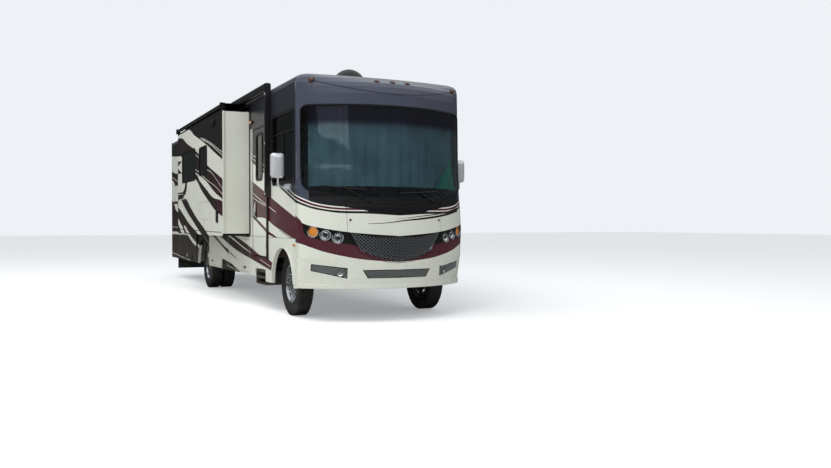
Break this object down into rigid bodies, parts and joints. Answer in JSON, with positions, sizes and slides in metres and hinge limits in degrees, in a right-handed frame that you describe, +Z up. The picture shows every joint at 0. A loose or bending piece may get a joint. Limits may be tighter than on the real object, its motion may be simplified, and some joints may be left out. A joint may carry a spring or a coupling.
{
  "type": "motorhome",
  "caption": "Class A motorhome on a truck chassis, with a curved front cap, slide-out rooms, opening doors, steered front wheels and dual rear wheels.",
  "frame": {"origin": "on the ground under the middle of the coach", "axes": "+X forward, +Y to the driver's side, +Z up"},
  "size_m": [11.3586, 3.57, 3.8],
  "materials": {
    "cream_paint": "gloss",
    "slate_paint": "gloss",
    "black_trim": "satin",
    "moulded_plastic": "gloss",
    "frame_steel": "matt paint",
    "engine_iron": "cast",
    "polished_steel": "polished",
    "alloy": "satin",
    "tyre": "moulded",
    "rubber": "matt",
    "floor_panel": "matt",
    "laminate": "satin",
    "tinted_glass": "clear",
    "clear_lens": "clear",
    "amber_lens": "clear",
    "red_lens": "clear",
    "mirror_shell": "polished",
    "dash_plastic": "grained",
    "seat_leather": "satin",
    "awning_fabric": "woven"
  },
  "bodies": {
    "coach": {"frame_rails": "frame_steel", "cross_members": "frame_steel", "hitch_receiver": "frame_steel", "engine_block": "engine_iron", "front_axle": "frame_steel", "rear_axle": "frame_steel", "fuel_tank": "frame_steel", "exhaust": "frame_steel", "floor_deck": "floor_panel", "storage_bays": "laminate", "skirts": "cream_paint", "side_walls": "cream_paint", "side_glass": "tinted_glass", "roof": "moulded_plastic", "rear_cap": "cream_paint", "front_fascia": "cream_paint", "upper_cap": "slate_paint", "windshield": "tinted_glass", "front_lamps": "clear_lens", "marker_lamps": "amber_lens", "tail_lamps": "red_lens", "mirrors": "mirror_shell", "wipers": "black_trim", "dashboard": "dash_plastic", "cab_seats": "seat_leather", "air_conditioners": "moulded_plastic", "satellite_dome": "black_trim", "awning": "black_trim", "entry_step": "frame_steel", "rear_ladder": "alloy", "rock_guard": "rubber"},
    "hood": {"front_hood": "cream_paint", "hood_grille": "polished_steel"},
    "entry_door": {"entry_door": "cream_paint", "entry_door_glass": "tinted_glass"},
    "bay_door_curb_1": {"bay_door_curb_1": "cream_paint"},
    "bay_door_curb_2": {"bay_door_curb_2": "cream_paint"},
    "bay_door_curb_3": {"bay_door_curb_3": "cream_paint"},
    "slide_room_curb": {"slide_room_curb": "cream_paint", "slide_glass_curb": "tinted_glass", "topper_curb": "awning_fabric"},
    "knuckle_curb": {"knuckle_curb": "frame_steel"},
    "front_wheel_curb": {"front_rim_curb": "polished_steel", "front_tyre_curb": "tyre"},
    "rear_wheels_curb": {"rear_rims_curb": "polished_steel", "rear_tyres_curb": "tyre"},
    "bay_door_road_1": {"bay_door_road_1": "cream_paint"},
    "bay_door_road_2": {"bay_door_road_2": "cream_paint"},
    "bay_door_road_3": {"bay_door_road_3": "cream_paint"},
    "slide_room_road": {"slide_room_road": "cream_paint", "slide_glass_road": "tinted_glass", "topper_road": "awning_fabric"},
    "knuckle_road": {"knuckle_road": "frame_steel"},
    "front_wheel_road": {"front_rim_road": "polished_steel", "front_tyre_road": "tyre"},
    "rear_wheels_road": {"rear_rims_road": "polished_steel", "rear_tyres_road": "tyre"}
  },
  "joints": [
    {"name": "hood_lift", "type": "hinge", "parent": "coach", "child": "hood", "pos_m": [5.7, 0, 1.69], "axis": [0, -1, 0], "range_deg": [0, 70]},
    {"name": "entry_door_swing", "type": "hinge", "parent": "coach", "child": "entry_door", "pos_m": [3.442, -1.303, 1.85], "axis": [0, 0, 1], "range_deg": [0, 95]},
    {"name": "bay_door_curb_1_lift", "type": "hinge", "parent": "coach", "child": "bay_door_curb_1", "pos_m": [-0.02, -1.299, 1.11], "axis": [-1, 0, 0], "range_deg": [0, 85]},
    {"name": "bay_door_curb_2_lift", "type": "hinge", "parent": "coach", "child": "bay_door_curb_2", "pos_m": [1.62, -1.299, 1.11], "axis": [-1, 0, 0], "range_deg": [0, 85]},
    {"name": "bay_door_curb_3_lift", "type": "hinge", "parent": "coach", "child": "bay_door_curb_3", "pos_m": [-3.425, -1.299, 1.11], "axis": [-1, 0, 0], "range_deg": [0, 85]},
    {"name": "slide_out_curb", "type": "slide", "parent": "coach", "child": "slide_room_curb", "axis": [0, 1, 0], "range_m": [0, 0.4], "deforming": ["topper_curb"]},
    {"name": "steer_curb", "type": "hinge", "parent": "coach", "child": "knuckle_curb", "pos_m": [4.32, -0.88, 0.474], "axis": [0, 0, 1], "range_deg": [-35, 35]},
    {"name": "front_wheel_curb_spin", "type": "hinge", "parent": "knuckle_curb", "child": "front_wheel_curb", "pos_m": [4.32, -1.065, 0.474], "axis": [0, 1, 0], "continuous": true},
    {"name": "rear_wheels_curb_spin", "type": "hinge", "parent": "coach", "child": "rear_wheels_curb", "pos_m": [-1.471, -0.9585, 0.474], "axis": [0, 1, 0], "continuous": true},
    {"name": "bay_door_road_1_lift", "type": "hinge", "parent": "coach", "child": "bay_door_road_1", "pos_m": [-0.02, 1.299, 1.11], "axis": [1, 0, 0], "range_deg": [0, 85]},
    {"name": "bay_door_road_2_lift", "type": "hinge", "parent": "coach", "child": "bay_door_road_2", "pos_m": [1.62, 1.299, 1.11], "axis": [1, 0, 0], "range_deg": [0, 85]},
    {"name": "bay_door_road_3_lift", "type": "hinge", "parent": "coach", "child": "bay_door_road_3", "pos_m": [-3.425, 1.299, 1.11], "axis": [1, 0, 0], "range_deg": [0, 85]},
    {"name": "slide_out_road", "type": "slide", "parent": "coach", "child": "slide_room_road", "axis": [0, -1, 0], "range_m": [0, 0.4], "deforming": ["topper_road"]},
    {"name": "steer_road", "type": "hinge", "parent": "coach", "child": "knuckle_road", "pos_m": [4.32, 0.88, 0.474], "axis": [0, 0, 1], "range_deg": [-35, 35]},
    {"name": "front_wheel_road_spin", "type": "hinge", "parent": "knuckle_road", "child": "front_wheel_road", "pos_m": [4.32, 1.065, 0.474], "axis": [0, 1, 0], "continuous": true},
    {"name": "rear_wheels_road_spin", "type": "hinge", "parent": "coach", "child": "rear_wheels_road", "pos_m": [-1.471, 0.9585, 0.474], "axis": [0, 1, 0], "continuous": true}
  ],
  "couplings": [
    {"joint": "steer_road", "follows": "steer_curb", "ratio": 1}
  ]
}
